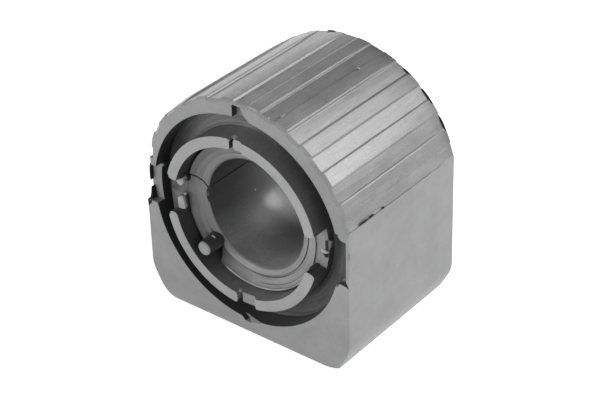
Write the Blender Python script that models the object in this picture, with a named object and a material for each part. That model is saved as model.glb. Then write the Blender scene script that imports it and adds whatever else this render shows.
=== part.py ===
"""Split rubber bushing that holds a sway bar in its bracket.

One moulded piece. Its outline is a D: a ribbed arch over flat sides and a flat base. The bore runs
along Y. Each end has a ring-shaped recess, a ring wall inside it, and a stepped sleeve end round the
bore. The front end (-Y) also has a cross of moulded notches, a pin in its pocket, and the slit that
lets the bushing open over the bar.

The origin is in the middle of the flat base, and +Z points from it to the bore. The shapes below are
drawn about the bore's axis, and each object then stands at the bore's height over the base.
"""

import math

import bmesh
import bpy

MM = 0.001

# The bore, and the pin that stands in the sleeve beside it
BORE_RADIUS = 11.25 * MM
PIN_RADIUS = 1.8 * MM
PIN_TO_BORE = 0.15 * MM
PIN_TO_RING = 0.6 * MM
PIN_CENTRE_RADIUS = BORE_RADIUS + PIN_TO_BORE + PIN_RADIUS
PIN_ANGLE_DEG = -136.1
PIN_PROUD = 0.5 * MM
PIN_ROOT = 1.5 * MM
PIN_STEPS = 32

# Round walls, from the bore outwards: the sleeve holds the pin, then ring wall, recess, outer wall
SLEEVE_WALL = PIN_TO_BORE + 2 * PIN_RADIUS + PIN_TO_RING
RING_WALL = 2.2 * MM
RECESS_WIDTH = 3.9 * MM
OUTER_WALL = 2.3 * MM
RING_INNER_RADIUS = BORE_RADIUS + SLEEVE_WALL
RING_OUTER_RADIUS = RING_INNER_RADIUS + RING_WALL
RECESS_RADIUS = RING_OUTER_RADIUS + RECESS_WIDTH
HALF_WIDTH = RECESS_RADIUS + OUTER_WALL
ROUND_STEPS = 96

# Body
BASE_WALL = 3.05 * MM
BASE_DROP = RECESS_RADIUS + BASE_WALL
BODY_LENGTH = 33.4 * MM
FRONT_Y = -BODY_LENGTH / 2
BACK_Y = BODY_LENGTH / 2
EDGE_BREAK = 0.12 * MM

# Bottom corners: a round shoulder, a slant, and a foot that flattens out towards the base.
# Each foot has its slant's length, its width, its rise, and the power that it rises by.
SHOULDER_RADIUS = 7.0 * MM
SHOULDER_TURN_DEG = 29.0
SHOULDER_STEPS = 5
FOOT_STEPS = 6
RIGHT_FOOT = (3.5 * MM, 4.0 * MM, 0.81 * MM, 2.0)
LEFT_FOOT = (2.5 * MM, 3.75 * MM, 2.3 * MM, 2.35)

# Ribs on the arch, each as wide as the flat beside it
ARCH_RISE = 0.85 * MM
RIB_RADIUS = HALF_WIDTH + ARCH_RISE
RIB_HEIGHT = 0.42 * MM
FLAT_RADIUS = RIB_RADIUS - RIB_HEIGHT
SIDE_TOP_DEG = math.degrees(math.acos(HALF_WIDTH / RIB_RADIUS))
END_FLAT_DEG = 6.1
RIB_COUNT = 10
RIB_PITCH_DEG = (180.0 - 2 * (SIDE_TOP_DEG + END_FLAT_DEG)) / (RIB_COUNT - 0.5)
RISER_DEG = 0.5
RIB_EDGE_DEG = 0.5
RIB_EDGE_DROP = 0.08 * MM
ARCH_STEPS = 2
RIB_END_CHAMFER = 0.55 * MM

# The outer wall gets thinner towards its free end, above the slit
FREE_END_WALL = 0.9 * MM
THIN_MOST = OUTER_WALL - FREE_END_WALL
THIN_START_DEG = 138.0
THIN_SPAN_DEG = 27.0
THIN_POWER = 2.2

# Ring-shaped recess and ring wall
RING_PROUD = 1.35 * MM
RECESS_DEPTH = 4.4 * MM
RECESS_DRAFT = 0.15 * MM
FLOOR_FILLET = 0.5 * MM

# Sleeve end: distance inside the ring wall, and depth below the body's end face
CREVICE_WIDTH = 0.4 * MM
CREVICE_DEPTH = 5.0 * MM
SLEEVE_STEPS = (
    (CREVICE_WIDTH, 1.95 * MM),
    (0.7 * MM, 1.95 * MM),
    (0.82 * MM, 2.2 * MM),
    (1.35 * MM, 2.3 * MM),
    (1.5 * MM, 2.55 * MM),
    (2.65 * MM, 2.75 * MM),
    (2.75 * MM, 3.25 * MM),
    (3.0 * MM, 3.25 * MM),
    (3.1 * MM, 3.0 * MM),
)
RIM_DEPTH = 3.2 * MM
RIM_WIDTH = 0.3 * MM
BORE_EDGE = 0.25 * MM

# Blocks that close the groove between sleeve and ring wall at the side notches
BRIDGES_DEG = ((-16.5, 13.5), (164.5, 181.0))
BRIDGE_TOP = 0.2 * MM
BRIDGE_LAP = 0.05 * MM

# Cross of notches in the outer wall: the side bars are wide, the top and bottom bars narrow
NOTCH_START = 1.6 * MM
SIDE_NOTCH_TOP = 4.4 * MM
SIDE_NOTCH_BOTTOM = -3.7 * MM
LEFT_NOTCH_DEPTH = 1.85 * MM
RIGHT_NOTCH_HALF = 4.5 * MM
RIGHT_NOTCH_DEPTH = 3.4 * MM
RIGHT_NOTCH_ROUND = 1.1 * MM
RIGHT_NOTCH_LEAD = 0.2 * MM
RIGHT_SKIN = 0.75 * MM
ROUND_NOTCH_STEPS = 4

# Narrow notches: where their steep left wall stands, and that wall's height over the recess. Each row
# of the right wall has its distance from the left wall at the mouth and at the floor, and its height.
NOTCH_MOUTH = 0.05 * MM
TOP_NOTCH_LEFT = -1.6 * MM
TOP_NOTCH_DEPTH = 1.4 * MM
TOP_NOTCH_RIGHT = (
    (1.95 * MM, 0.7 * MM, OUTER_WALL),
    (2.5 * MM, 0.9 * MM, OUTER_WALL - 0.8 * MM),
    (3.1 * MM, 1.1 * MM, 0.6 * MM),
    (4.2 * MM, 1.3 * MM, -0.2 * MM),
    (5.0 * MM, 1.3 * MM, -NOTCH_START),
)
LOW_NOTCH_LEFT = -2.1 * MM
LOW_NOTCH_WALL = -0.7 * MM
LOW_NOTCH_DEPTH = 1.1 * MM
LOW_NOTCH_RIGHT = (
    (1.4 * MM, 1.4 * MM, 0.75 * MM),
    (2.8 * MM, 1.7 * MM, 0.75 * MM),
    (5.6 * MM, 1.75 * MM, -0.1 * MM),
    (5.6 * MM, 1.75 * MM, -NOTCH_START),
)

# Gaps in the ring wall: angles of the side ones' tips, left and right end of the narrow ones
GAP_MARGIN = 0.55 * MM
LEFT_GAP_DEG = (165.6, 190.6)
LEFT_GAP_DEPTH = 0.4 * MM
RIGHT_GAP_DEG = (-14.3, 12.3)
RIGHT_GAP_DEPTH = 2.3 * MM
TIP_STEPS = 8
TOP_GAP = (-1.45 * MM, 1.4 * MM)
TOP_GAP_DROP = 0.4 * MM
LOW_GAP = (-1.3 * MM, 3.3 * MM)
LOW_GAP_DROP = 0.95 * MM
GAP_SLOT = 0.55 * MM
GAP_SLOT_DEPTH = 1.0 * MM
GAP_RAMP = 1.2

# Pocket of the pin, from the wall at the bore to the groove: distance from the sleeve wall's inner
# or outer edge, and angle from the pin's
POCKET_DEPTH = 6.5 * MM
POCKET_TOP = 0.4 * MM
POCKET_IN = ((1.0 * MM, -4.1), (0.95 * MM, 2.1), (1.45 * MM, 7.1))
POCKET_OUT = ((1.6 * MM, 12.3), (0.15 * MM, 15.1), (0.15 * MM, -5.1))

# Slit through every wall: how far outside the bore, and height over its axis
SLIT_WIDTH = 0.35 * MM
SLIT_END_HEIGHT = SIDE_NOTCH_TOP - 0.05 * MM
RING_OUTSIDE = SLEEVE_WALL + RING_WALL
SLIT_POINTS = (
    (-0.95 * MM, 0.3 * MM),
    (-0.1 * MM, 1.85 * MM),
    (0.85 * MM, 3.05 * MM),
    (2.05 * MM, 3.85 * MM),
    (3.15 * MM, 4.1 * MM),
    (SLEEVE_WALL + 0.3 * MM, 3.5 * MM),
    (RING_OUTSIDE + 0.1 * MM, 3.2 * MM),
    (RING_OUTSIDE + RECESS_WIDTH / 2, 3.7 * MM),
    (RING_OUTSIDE + RECESS_WIDTH - 0.1 * MM, SLIT_END_HEIGHT - 0.05 * MM),
)

# Worn dent in the bore's front rim, just below the slit
DENT_RADIUS = 3.1 * MM
DENT_DEPTH = 0.45 * MM
DENT_ANGLE_DEG = 179.0
DENT_START = 1.0 * MM
DENT_LENGTH = 3.8 * MM
DENT_STEPS = 40

# How far a cutter reaches past what it cuts, and how near two points are one
OVER = 3.0 * MM
MERGE = 0.001 * MM

# A face bent by more than this, in radians, is split into flat ones
FLAT_ENOUGH = 0.0005
SMOOTH_BELOW_DEG = 28.0

RUBBER_COLOUR = (0.165, 0.165, 0.168, 1.0)
RUBBER_ROUGHNESS = 0.55


def clear_scene():
    """Removes every object of the open scene."""
    for obj in list(bpy.data.objects):
        bpy.data.objects.remove(obj, do_unlink=True)


def rubber_material():
    """The one material: dark grey moulded rubber with a dull sheen."""
    material = bpy.data.materials.new("rubber")
    material.use_nodes = True
    shader = material.node_tree.nodes["Principled BSDF"]
    shader.inputs["Base Color"].default_value = RUBBER_COLOUR
    shader.inputs["Roughness"].default_value = RUBBER_ROUGHNESS
    shader.inputs["Metallic"].default_value = 0.0
    return material


def polar(radius, degrees):
    """The (x, z) point at this radius and angle from +X towards +Z."""
    angle = math.radians(degrees)
    return radius * math.cos(angle), radius * math.sin(angle)


def spread(start, end, steps):
    """Evenly spaced values from start to end, both included."""
    return [start + (end - start) * i / steps for i in range(steps + 1)]


def thinning(degrees):
    """How far the outer wall is drawn in at this angle, on its free end."""
    part = (degrees - THIN_START_DEG) / THIN_SPAN_DEG
    return THIN_MOST * max(0.0, min(1.0, part)) ** THIN_POWER


def rib_profile(start, end):
    """(angle, radius) pairs over one rib, with its two rounded top edges."""
    low = RIB_RADIUS - RIB_EDGE_DROP
    first = start + RISER_DEG / 2
    last = end - RISER_DEG / 2
    top = spread(first + RIB_EDGE_DEG, last - RIB_EDGE_DEG, ARCH_STEPS)
    return [(first, low)] + [(angle, RIB_RADIUS) for angle in top] + [(last, low)]


def arch_profile():
    """(angle, radius) pairs of the ribbed arch, from the right side's top to the left side's."""
    points = [(SIDE_TOP_DEG, RIB_RADIUS)]
    flat_start = SIDE_TOP_DEG + RISER_DEG
    for i in range(RIB_COUNT):
        start = SIDE_TOP_DEG + END_FLAT_DEG + i * RIB_PITCH_DEG
        end = start + RIB_PITCH_DEG / 2
        points += [(angle, FLAT_RADIUS) for angle in spread(flat_start, start - RISER_DEG / 2, ARCH_STEPS)]
        points += rib_profile(start, end)
        flat_start = end + RISER_DEG / 2
    last = 180.0 - SIDE_TOP_DEG
    points += [(angle, FLAT_RADIUS) for angle in spread(flat_start, last - RISER_DEG, ARCH_STEPS)]
    points.append((last, RIB_RADIUS))
    return points


def bottom_corner(foot, inset):
    """(x, z) points of the right bottom corner from the base up, drawn in by the inset."""
    slant, width, rise, power = foot
    turn = math.radians(SHOULDER_TURN_DEG)
    slant_top = HALF_WIDTH - SHOULDER_RADIUS * (1.0 - math.cos(turn))
    outer = slant_top - slant * math.sin(turn)
    points = []
    for part in spread(0.0, 1.0, FOOT_STEPS):
        slope = rise / width * power * part ** (power - 1.0)
        tilt = inset / math.hypot(1.0, slope)
        x = outer - width * (1.0 - part)
        points.append((x - slope * tilt, rise * part**power - BASE_DROP + tilt))
    centre_z = rise - BASE_DROP + slant * math.cos(turn) + SHOULDER_RADIUS * math.sin(turn)
    for angle in spread(-SHOULDER_TURN_DEG, 0.0, SHOULDER_STEPS):
        x, z = polar(SHOULDER_RADIUS - inset, angle)
        points.append((HALF_WIDTH - SHOULDER_RADIUS + x, centre_z + z))
    return points


def body_outline(arch_inset, side_inset):
    """The D outline as (x, z) points, drawn in by these amounts."""
    outline = bottom_corner(RIGHT_FOOT, side_inset)
    arch = arch_profile()
    for i, (angle, radius) in enumerate(arch):
        inset = arch_inset if 0 < i < len(arch) - 1 else side_inset
        outline.append(polar(radius - thinning(angle) - inset, angle))
    slit_deg = 180.0 - math.degrees(math.asin(SLIT_END_HEIGHT / HALF_WIDTH))
    side_x = side_inset - HALF_WIDTH
    outline.append((side_x + thinning(slit_deg), SLIT_END_HEIGHT + SLIT_WIDTH / 3))
    outline.append((side_x, SLIT_END_HEIGHT - SLIT_WIDTH / 3))
    left = [(-x, z) for x, z in bottom_corner(LEFT_FOOT, side_inset)]
    return outline + list(reversed(left))


def make_object(name, mesh_data, smooth=False):
    """A new object from a bmesh, with its faces pointing out, standing at the bore's height."""
    bmesh.ops.recalc_face_normals(mesh_data, faces=mesh_data.faces[:])
    mesh = bpy.data.meshes.new(name)
    mesh_data.to_mesh(mesh)
    mesh_data.free()
    if smooth:
        mesh.shade_smooth()
        mesh.set_sharp_from_angle(angle=math.radians(SMOOTH_BELOW_DEG))
    obj = bpy.data.objects.new(name, mesh)
    obj.location = (0.0, 0.0, BASE_DROP)
    bpy.context.scene.collection.objects.link(obj)
    return obj


def loft(name, sections, smooth=False):
    """A solid through sections, each a pair of its Y and its (x, z) outline, with flat ends."""
    mesh_data = bmesh.new()
    rings = [[mesh_data.verts.new((x, y, z)) for x, z in outline] for y, outline in sections]
    for near, far in zip(rings, rings[1:]):
        count = len(near)
        for i in range(count):
            j = (i + 1) % count
            mesh_data.faces.new((near[i], near[j], far[j], far[i]))
    mesh_data.faces.new(rings[0])
    mesh_data.faces.new(list(reversed(rings[-1])))
    bmesh.ops.connect_verts_nonplanar(mesh_data, angle_limit=FLAT_ENOUGH, faces=mesh_data.faces[:])
    return make_object(name, mesh_data, smooth)


def prism(name, outline, start_y, end_y):
    """A straight solid with this (x, z) outline between two Y planes."""
    return loft(name, [(start_y, outline), (end_y, outline)])


def lathe(name, profile):
    """A solid of revolution about the Y axis from a loop of (radius, y) points."""
    mesh_data = bmesh.new()
    verts = [mesh_data.verts.new((radius, y, 0.0)) for radius, y in profile]
    pairs = list(zip(verts, verts[1:] + verts[:1]))
    edges = [mesh_data.edges.new((a, b)) for a, b in pairs if a.co.x + b.co.x > 0.0]
    bmesh.ops.spin(
        mesh_data,
        geom=verts + edges,
        cent=(0.0, 0.0, 0.0),
        axis=(0.0, 1.0, 0.0),
        angle=math.tau,
        steps=ROUND_STEPS,
        use_merge=True,
    )
    bmesh.ops.remove_doubles(mesh_data, verts=mesh_data.verts[:], dist=MERGE)
    return make_object(name, mesh_data)


def disc(centre, radius, steps):
    """The (x, z) outline of a circle."""
    x, z = centre
    points = [polar(radius, 360.0 * i / steps) for i in range(steps)]
    return [(x + dx, z + dz) for dx, dz in points]


def sector(inner, outer, start, end):
    """The (x, z) outline of part of a ring between two angles."""
    steps = round((end - start) / 360.0 * ROUND_STEPS)
    outline = [polar(outer, angle) for angle in spread(start, end, steps)]
    return outline + [polar(inner, angle) for angle in spread(end, start, steps)]


def ring_gap_outline(start, end):
    """The (x, z) outline of a gap in the ring wall whose two neighbours end in half-round tips."""
    middle = (RING_INNER_RADIUS + RING_OUTER_RADIUS) / 2
    tip = RING_WALL / 2
    tip_deg = math.degrees(tip / middle)
    ends = []
    for edge, turn in ((end, -1.0), (start, 1.0)):
        points = []
        for angle in spread(0.0, math.pi, TIP_STEPS):
            along = math.degrees(tip * math.sin(angle) / middle)
            across = (tip + GAP_MARGIN) * math.cos(angle)
            points.append(polar(middle - across, edge + turn * (along - tip_deg)))
        ends.append(points)
    outside = [polar(RING_OUTER_RADIUS + GAP_MARGIN, angle) for angle in spread(end, start, TIP_STEPS)]
    inside = [polar(RING_INNER_RADIUS - GAP_MARGIN, angle) for angle in spread(start, end, TIP_STEPS)]
    return ends[0] + outside + list(reversed(ends[1])) + inside


def slit_outline():
    """The slit's path widened to its width, as one closed (x, z) outline."""
    path = [(-BORE_RADIUS - outside, height) for outside, height in SLIT_POINTS]
    path.append((-HALF_WIDTH - OVER, SLIT_END_HEIGHT))
    left = []
    right = []
    for i, (x, z) in enumerate(path):
        before = path[max(i - 1, 0)]
        after = path[min(i + 1, len(path) - 1)]
        run_x = after[0] - before[0]
        run_z = after[1] - before[1]
        scale = SLIT_WIDTH / 2 / math.hypot(run_x, run_z)
        left.append((x - run_z * scale, z + run_x * scale))
        right.append((x + run_z * scale, z - run_x * scale))
    return left + list(reversed(right))


def make_body():
    """The D-shaped block with chamfered rib ends at the front, before anything is cut."""
    full = body_outline(0.0, 0.0)
    return loft(
        "bushing",
        [
            (FRONT_Y, body_outline(RIB_END_CHAMFER, EDGE_BREAK)),
            (FRONT_Y + EDGE_BREAK, body_outline(RIB_END_CHAMFER - EDGE_BREAK, 0.0)),
            (FRONT_Y + RIB_END_CHAMFER, full),
            (BACK_Y - EDGE_BREAK, full),
            (BACK_Y, body_outline(EDGE_BREAK, EDGE_BREAK)),
        ],
        smooth=True,
    )


def end_profile(face_y, inward):
    """(radius, y) points of one sleeve end, from the ring wall in to the bore."""
    points = [(RING_INNER_RADIUS, CREVICE_DEPTH), (RING_INNER_RADIUS - CREVICE_WIDTH, CREVICE_DEPTH)]
    points += [(RING_INNER_RADIUS - inside, depth) for inside, depth in SLEEVE_STEPS]
    points.append((BORE_RADIUS + RIM_WIDTH, RIM_DEPTH))
    points.append((BORE_RADIUS, RIM_DEPTH + BORE_EDGE))
    return [(radius, face_y + inward * depth) for radius, depth in points]


def core_cutter():
    """The bore and both sleeve ends, as one turned solid."""
    front_end = FRONT_Y - RING_PROUD - OVER
    back_end = BACK_Y + OVER
    profile = [(0.0, front_end), (RING_INNER_RADIUS, front_end)]
    profile += end_profile(FRONT_Y, 1.0)
    profile += reversed(end_profile(BACK_Y, -1.0))
    profile += [(RING_INNER_RADIUS, back_end), (0.0, back_end)]
    return lathe("core_cutter", profile)


def recess_cutter(name, face_y, inward):
    """The ring-shaped recess at one end, with rounded corners along its floor."""
    outside = face_y - inward * (RING_PROUD + OVER)
    floor = face_y + inward * RECESS_DEPTH
    above = floor - inward * FLOOR_FILLET
    foot = RECESS_RADIUS - RECESS_DRAFT
    profile = [
        (RING_OUTER_RADIUS, outside),
        (RECESS_RADIUS + RECESS_DRAFT / 2, outside),
        (RECESS_RADIUS, face_y),
        (foot, above),
        (foot - FLOOR_FILLET, floor),
        (RING_OUTER_RADIUS + FLOOR_FILLET, floor),
        (RING_OUTER_RADIUS, above),
    ]
    return lathe(name, profile)


def left_notch_cutter():
    """The left notch in the outer wall, open to the outside."""
    inside = RECESS_RADIUS - NOTCH_START
    outside = HALF_WIDTH + OVER
    outline = [
        (-outside, SIDE_NOTCH_BOTTOM),
        (-inside, SIDE_NOTCH_BOTTOM),
        (-inside, SIDE_NOTCH_TOP),
        (-outside, SIDE_NOTCH_TOP),
    ]
    return prism("left_notch_cutter", outline, FRONT_Y - OVER, FRONT_Y + LEFT_NOTCH_DEPTH)


def right_notch_cutter():
    """The right notch in the outer wall, which leaves a thin skin along the side."""
    start = RECESS_RADIUS - RIGHT_NOTCH_LEAD
    upper = [(RECESS_RADIUS - NOTCH_START, RIGHT_NOTCH_HALF + RIGHT_NOTCH_ROUND)]
    for angle in spread(0.0, math.pi / 2, ROUND_NOTCH_STEPS):
        x = start + RIGHT_NOTCH_ROUND * (1.0 - math.cos(angle))
        upper.append((x, RIGHT_NOTCH_HALF + RIGHT_NOTCH_ROUND * (1.0 - math.sin(angle))))
    upper.append((HALF_WIDTH - RIGHT_SKIN, RIGHT_NOTCH_HALF))
    lower = [(x, -z) for x, z in reversed(upper)]
    return prism("right_notch_cutter", upper + lower, FRONT_Y - OVER, FRONT_Y + RIGHT_NOTCH_DEPTH)


def wedge_notch_cutter(name, turn, left, wall, rows, depth):
    """A notch whose floor falls from its right wall's mouth to a crease at its left wall."""
    start = [(0.0, -NOTCH_START), (0.0, wall)]
    sections = []
    for y, column in ((FRONT_Y - OVER, 0), (FRONT_Y - NOTCH_MOUTH, 0), (FRONT_Y + depth, 1)):
        corners = start + [(row[column], row[2]) for row in rows]
        sections.append((y, [(left + x, turn * (RECESS_RADIUS + height)) for x, height in corners]))
    return loft(name, sections)


def narrow_gap_cutter(name, span, drop, turn):
    """A shallow gap across the ring wall with a slot at its left end and a ramp at its right."""
    left, right = span
    start_z = turn * (RING_INNER_RADIUS - GAP_MARGIN)
    end_z = turn * (RING_OUTER_RADIUS + GAP_MARGIN)
    face_y = FRONT_Y - RING_PROUD
    floor = face_y + drop
    shape = [
        (left, face_y - OVER),
        (right, face_y - OVER),
        (right, face_y - NOTCH_MOUTH),
        (right - GAP_RAMP * drop, floor),
        (left + GAP_SLOT, floor),
        (left + GAP_SLOT, floor + GAP_SLOT_DEPTH),
        (left, floor + GAP_SLOT_DEPTH),
    ]
    mesh_data = bmesh.new()
    face = mesh_data.faces.new([mesh_data.verts.new((x, y, start_z)) for x, y in shape])
    grown = bmesh.ops.extrude_face_region(mesh_data, geom=[face])["geom"]
    moved = [item for item in grown if isinstance(item, bmesh.types.BMVert)]
    bmesh.ops.translate(mesh_data, verts=moved, vec=(0.0, 0.0, end_z - start_z))
    return make_object(name, mesh_data)


def outer_notch_cutters():
    """The four notches in the outer wall's front end."""
    top = (TOP_NOTCH_LEFT, OUTER_WALL, TOP_NOTCH_RIGHT, TOP_NOTCH_DEPTH)
    low = (LOW_NOTCH_LEFT, LOW_NOTCH_WALL, LOW_NOTCH_RIGHT, LOW_NOTCH_DEPTH)
    return [
        left_notch_cutter(),
        right_notch_cutter(),
        wedge_notch_cutter("top_notch_cutter", 1.0, *top),
        wedge_notch_cutter("low_notch_cutter", -1.0, *low),
    ]


def ring_gap_cutters():
    """The four gaps in the proud ring wall."""
    front = FRONT_Y - RING_PROUD - OVER
    return [
        prism("left_gap_cutter", ring_gap_outline(*LEFT_GAP_DEG), front, FRONT_Y + LEFT_GAP_DEPTH),
        prism("right_gap_cutter", ring_gap_outline(*RIGHT_GAP_DEG), front, FRONT_Y + RIGHT_GAP_DEPTH),
        narrow_gap_cutter("top_gap_cutter", TOP_GAP, TOP_GAP_DROP, 1.0),
        narrow_gap_cutter("low_gap_cutter", LOW_GAP, LOW_GAP_DROP, -1.0),
    ]


def bridge_blocks():
    """The two blocks that close the groove between sleeve and ring wall at the side notches."""
    inner = RING_INNER_RADIUS - CREVICE_WIDTH - BRIDGE_LAP
    outer = RING_INNER_RADIUS + RING_WALL / 2
    start_y = FRONT_Y + BRIDGE_TOP
    end_y = FRONT_Y + CREVICE_DEPTH + OVER
    blocks = []
    for number, (start, end) in enumerate(BRIDGES_DEG):
        blocks.append(prism(f"bridge_block_{number}", sector(inner, outer, start, end), start_y, end_y))
    return blocks


def pocket_cutter():
    """The pocket that the pin stands in, widest on the side that faces the groove."""
    outline = [polar(BORE_RADIUS + outside, PIN_ANGLE_DEG + turn) for outside, turn in POCKET_IN]
    outline += [polar(RING_INNER_RADIUS - inside, PIN_ANGLE_DEG + turn) for inside, turn in POCKET_OUT]
    return prism("pocket_cutter", outline, FRONT_Y + POCKET_TOP, FRONT_Y + POCKET_DEPTH)


def dent_cutter():
    """The worn dent in the bore's front rim."""
    centre = polar(BORE_RADIUS + DENT_DEPTH - DENT_RADIUS, DENT_ANGLE_DEG)
    start_y = FRONT_Y + DENT_START
    return prism("dent_cutter", disc(centre, DENT_RADIUS, DENT_STEPS), start_y, start_y + DENT_LENGTH)


def pin_block():
    """The pin, rooted below the floor of its pocket."""
    outline = disc(polar(PIN_CENTRE_RADIUS, PIN_ANGLE_DEG), PIN_RADIUS, PIN_STEPS)
    return prism("pin_block", outline, FRONT_Y - PIN_PROUD, FRONT_Y + POCKET_DEPTH + PIN_ROOT)


def combine(target, operation, tools):
    """Adds one Boolean per tool object to the target, and keeps the tools out of sight."""
    for tool in tools:
        modifier = target.modifiers.new(tool.name, "BOOLEAN")
        modifier.operation = operation
        modifier.solver = "EXACT"
        modifier.object = tool
        tool.hide_render = True
        tool.display_type = "WIRE"


def build():
    """Builds the bushing."""
    clear_scene()
    body = make_body()
    body.data.materials.append(rubber_material())

    hub_radius = RING_OUTER_RADIUS + RECESS_WIDTH / 2
    hub_end = FRONT_Y + RECESS_DEPTH / 2
    hub = prism("hub_block", disc((0.0, 0.0), hub_radius, ROUND_STEPS), FRONT_Y - RING_PROUD, hub_end)
    combine(body, "UNION", [hub])
    combine(body, "DIFFERENCE", [core_cutter()])
    combine(body, "UNION", bridge_blocks())

    cutters = [recess_cutter("front_recess_cutter", FRONT_Y, 1.0)]
    cutters.append(recess_cutter("back_recess_cutter", BACK_Y, -1.0))
    cutters += outer_notch_cutters()
    cutters += ring_gap_cutters()
    cutters += [pocket_cutter(), dent_cutter()]
    cutters.append(prism("slit_cutter", slit_outline(), FRONT_Y - RING_PROUD - OVER, BACK_Y + OVER))
    combine(body, "DIFFERENCE", cutters)
    combine(body, "UNION", [pin_block()])


build()
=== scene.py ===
"""Looks of a split rubber sway bar bushing, lying on its flat base on a pale studio floor."""

import logging
import math
from dataclasses import dataclass, replace
from enum import Enum

import bmesh
import bpy
from mathutils import Matrix, Vector


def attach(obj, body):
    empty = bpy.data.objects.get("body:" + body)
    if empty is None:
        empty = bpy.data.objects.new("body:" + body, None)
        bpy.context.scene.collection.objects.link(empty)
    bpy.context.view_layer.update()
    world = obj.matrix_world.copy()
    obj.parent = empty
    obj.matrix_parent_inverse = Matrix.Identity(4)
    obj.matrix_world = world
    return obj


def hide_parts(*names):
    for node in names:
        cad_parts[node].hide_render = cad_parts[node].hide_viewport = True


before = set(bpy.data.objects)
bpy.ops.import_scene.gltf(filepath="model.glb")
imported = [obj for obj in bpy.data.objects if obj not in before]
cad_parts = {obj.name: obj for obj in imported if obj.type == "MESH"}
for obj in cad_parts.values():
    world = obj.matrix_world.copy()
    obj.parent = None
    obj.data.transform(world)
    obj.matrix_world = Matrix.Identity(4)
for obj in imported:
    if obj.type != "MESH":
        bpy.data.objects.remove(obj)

LOG = logging.getLogger("bushing")
MM = 0.001
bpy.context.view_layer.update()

Tree = bpy.types.NodeTree
Socket = bpy.types.NodeSocket
Shape = bmesh.types.BMesh
Edge = bmesh.types.BMEdge
Vert = bmesh.types.BMVert
Feed = Socket | float | tuple[float, ...]
Ramp = tuple[tuple[float, float], ...]


class Zone(Enum):
    """The areas of the moulding that wear and age in their own way, and that get their own painted light and
    shade.
    """

    END_FACE = "end_face"
    RING_TIP = "ring_tip"
    SIDE = "side"
    ARCH = "arch"
    RIB_END = "rib_end"
    BACK_RIM = "back_rim"
    BASE = "base"
    RECESS_WALL = "recess_wall"
    RECESS_FLOOR = "recess_floor"
    NOTCH_FLOOR = "notch_floor"
    NOTCH_SLOT = "notch_slot"
    NOTCH_LEDGE = "notch_ledge"
    GAP_FLOOR = "gap_floor"
    RING_INSIDE = "ring_inside"
    RING_OUTSIDE = "ring_outside"
    SLEEVE_END = "sleeve_end"
    SLEEVE_STEP = "sleeve_step"
    PIN_TIP = "pin_tip"
    PIN_SIDE = "pin_side"
    BORE = "bore"
    CREVICE = "crevice"


class Layer(Enum):
    """The layers of numbers in a mesh that carry its tones to the material."""

    # The bloom, which also carries the painted light and shade
    BLOOM = "bloom"
    GLOSS = "gloss"
    GRIT = "grit"
    ROUND = "round"
    ALONG = "along"


@dataclass(frozen=True)
class Sizes:
    """The sizes of the bushing that the looks follow, in metres and degrees."""

    # The body, which stands on the middle of its flat base
    bore_height: float = 24.75 * MM
    front: float = -16.7 * MM
    back: float = 16.7 * MM
    half_width: float = 24.0 * MM

    # Radii about the bore, from the outside in
    rib_radius: float = 24.85 * MM
    flat_radius: float = 24.43 * MM
    recess_radius: float = 21.7 * MM
    ring_outer: float = 17.8 * MM
    ring_inner: float = 15.6 * MM
    sleeve_outer: float = 15.2 * MM
    rim_outer: float = 12.5 * MM
    bore_radius: float = 11.25 * MM

    # Depths of the sleeve's outer edge and of its rim at the bore, below the front face
    sleeve_top: float = 1.95 * MM
    rim_depth: float = 3.0 * MM

    # The pin: its radius, its axis about the bore, and how far it stands out of the front face
    pin_radius: float = 1.8 * MM
    pin_ring: float = 13.2 * MM
    pin_angle: float = -136.1
    pin_proud: float = 0.5 * MM

    # The side notches' top over the bore's axis, and the left walls of the notches above and below
    side_notch_top: float = 4.4 * MM
    top_notch: float = -1.6 * MM
    low_notch: float = -2.1 * MM

    rib_count: int = 10
    end_flat_deg: float = 6.1

    def band_of(self, angle: float) -> int:
        """Counts the ribs and flats over the arch, from the right side's edge up.

        Args:
            angle: degrees about the bore, from +X towards +Z.

        Returns:
            The number of the rib or flat at that angle.
        """
        side = math.degrees(math.acos(self.half_width / self.rib_radius))
        half_pitch = (90.0 - side - self.end_flat_deg) / (self.rib_count - 0.5)
        band = math.floor((angle - side - self.end_flat_deg) / half_pitch) + 1
        return max(0, min(2 * self.rib_count, band))

    def polar(self, point: Vector) -> tuple[float, float, float]:
        """Gives a point's place about the bore.

        Args:
            point: a point in the row frame.

        Returns:
            The radius, the degrees from +X towards +Z, and the depth below the nearer end face.
        """
        rise = point.z - self.bore_height
        depth = min(point.y - self.front, self.back - point.y)
        return math.hypot(point.x, rise), math.degrees(math.atan2(rise, point.x)), depth

    def off_pin(self, point: Vector) -> float:
        """Measures how far a point is from the pin's axis.

        Args:
            point: a point in the row frame.

        Returns:
            The distance.
        """
        turn = math.radians(self.pin_angle)
        rise = point.z - self.bore_height
        return math.hypot(point.x - self.pin_ring * math.cos(turn), rise - self.pin_ring * math.sin(turn))

    def draw_in(self, vert: Vert, share: float) -> None:
        """Moves a corner straight towards the bore's axis, to a share of its radius."""
        vert.co.x *= share
        vert.co.z = self.bore_height + (vert.co.z - self.bore_height) * share


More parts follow.
